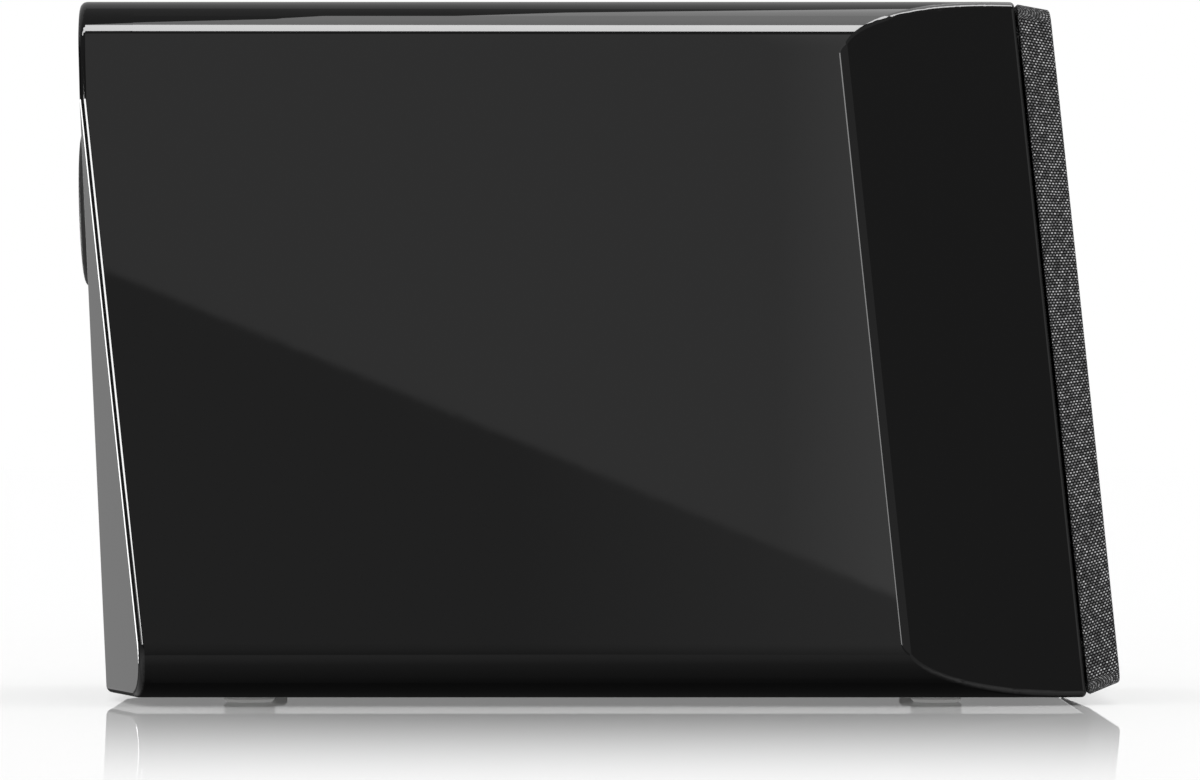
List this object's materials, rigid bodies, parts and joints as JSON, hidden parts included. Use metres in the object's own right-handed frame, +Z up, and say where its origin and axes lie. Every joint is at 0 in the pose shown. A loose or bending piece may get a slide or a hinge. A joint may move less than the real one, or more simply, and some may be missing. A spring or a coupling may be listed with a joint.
{
  "type": "bookshelf speaker",
  "caption": "Raked gloss black bookshelf speaker with faceted edges, a pull-off cloth grille over cone and dome drivers, a rear reflex port and screw-down binding posts.",
  "frame": {"origin": "on the floor under the middle of the overall width and length", "axes": "+Z up, -Y is the grille side, +Y is the port side, X runs across the width"},
  "size_m": [0.16, 0.2879, 0.1918],
  "materials": {
    "lacquer": "gloss black lacquer on board",
    "bare_board": "bare fibreboard",
    "foam": "open cell damping foam",
    "rubber": "matte black rubber",
    "clear_rubber": "milky clear soft bumper",
    "cloth": "woven charcoal grille cloth",
    "frame_plastic": "fine matte black",
    "black_plastic": "satin black moulding",
    "black_gloss": "polished black moulding",
    "red_gloss": "polished red moulding",
    "basket_paint": "black powder coat on steel",
    "zinc_steel": "zinc plated steel",
    "ferrite": "ground grey ferrite",
    "screw_black": "black oxide",
    "copper": "enamelled copper wire",
    "brass_plated": "plated brass",
    "tinned": "tinned contact metal",
    "former": "heat proof film",
    "cone_pulp": "pressed fibre cone",
    "cap_soft": "soft black dust cap",
    "spider_cloth": "resin dipped cloth",
    "dome_silk": "coated silk",
    "strip_board": "pressed paper board",
    "board_green": "varnished circuit board",
    "capacitor_film": "wrapped film",
    "ceramic": "white ceramic body",
    "lead_jacket": "soft wire jacket"
  },
  "bodies": {
    "cabinet": {"front_baffle": "lacquer", "rear_panel": "lacquer", "top_panel": "lacquer", "bottom_panel": "lacquer", "left_panel": "lacquer", "right_panel": "lacquer", "window_brace": "bare_board", "left_damping_pad": "foam", "right_damping_pad": "foam", "top_damping_pad": "foam", "rubber_feet": "clear_rubber", "grille_sockets": "rubber", "woofer_basket": "basket_paint", "woofer_gasket": "foam", "woofer_screws": "screw_black", "woofer_top_plate": "zinc_steel", "woofer_magnet": "ferrite", "woofer_yoke": "zinc_steel", "woofer_surround": "rubber", "woofer_spider": "spider_cloth", "woofer_terminal_strip": "strip_board", "woofer_terminal_tabs": "tinned", "tweeter_faceplate": "black_plastic", "tweeter_gasket": "foam", "tweeter_screws": "screw_black", "tweeter_top_plate": "zinc_steel", "tweeter_magnet": "ferrite", "tweeter_yoke": "zinc_steel", "tweeter_surround": "dome_silk", "tweeter_rear_cup": "black_plastic", "tweeter_terminal_tabs": "tinned", "port_tube": "black_plastic", "terminal_cup": "black_plastic", "terminal_gasket": "foam", "terminal_screws": "screw_black", "binding_post_studs": "brass_plated", "red_post_collar": "red_gloss", "black_post_collar": "black_gloss", "post_lock_nuts": "brass_plated", "post_solder_tags": "tinned", "crossover_board": "board_green", "board_standoffs": "black_plastic", "board_screws": "screw_black", "crossover_coils": "copper", "crossover_capacitors": "capacitor_film", "crossover_resistors": "ceramic", "internal_leads": "lead_jacket"},
    "grille": {"grille_frame": "frame_plastic", "grille_cloth": "cloth", "grille_pegs": "frame_plastic"},
    "woofer_diaphragm": {"woofer_cone": "cone_pulp", "woofer_dust_cap": "cap_soft", "woofer_coil_former": "former", "woofer_coil_winding": "copper"},
    "tweeter_diaphragm": {"tweeter_dome": "dome_silk", "tweeter_voice_coil": "copper"},
    "red_washer": {"red_clamp_washer": "brass_plated"},
    "red_cap": {"red_post_cap": "red_gloss"},
    "black_washer": {"black_clamp_washer": "brass_plated"},
    "black_cap": {"black_post_cap": "black_gloss"}
  },
  "joints": [
    {"name": "grille_pull", "type": "slide", "parent": "cabinet", "child": "grille", "axis": [0, -0.9945, 0.1045], "range_m": [0, 0.06]},
    {"name": "woofer_travel", "type": "slide", "parent": "cabinet", "child": "woofer_diaphragm", "axis": [0, -0.9945, 0.1045], "range_m": [-0.0035, 0.0035], "stiffness_N_per_m": 1500, "deforming": ["woofer_surround", "woofer_spider"]},
    {"name": "tweeter_travel", "type": "slide", "parent": "cabinet", "child": "tweeter_diaphragm", "axis": [0, -0.9945, 0.1045], "range_m": [-0.0003, 0.0003], "stiffness_N_per_m": 1500, "deforming": ["tweeter_surround"]},
    {"name": "red_washer_lift", "type": "slide", "parent": "cabinet", "child": "red_washer", "axis": [0, 0.9997, -0.0262], "range_m": [0, 0.004]},
    {"name": "red_cap_turn", "type": "hinge", "parent": "red_washer", "child": "red_cap", "pos_m": [-0.0095, 0.12615, 0.05044], "axis": [0, 0.9997, -0.0262], "range_deg": [0, 1440]},
    {"name": "black_washer_lift", "type": "slide", "parent": "cabinet", "child": "black_washer", "axis": [0, 0.9997, -0.0262], "range_m": [0, 0.004]},
    {"name": "black_cap_turn", "type": "hinge", "parent": "black_washer", "child": "black_cap", "pos_m": [0.0095, 0.12615, 0.05044], "axis": [0, 0.9997, -0.0262], "range_deg": [0, 1440]}
  ],
  "couplings": [
    {"joint": "red_cap_turn", "follows": "red_washer_lift", "rad_per_m": 6283.2},
    {"joint": "black_cap_turn", "follows": "black_washer_lift", "rad_per_m": 6283.2}
  ]
}
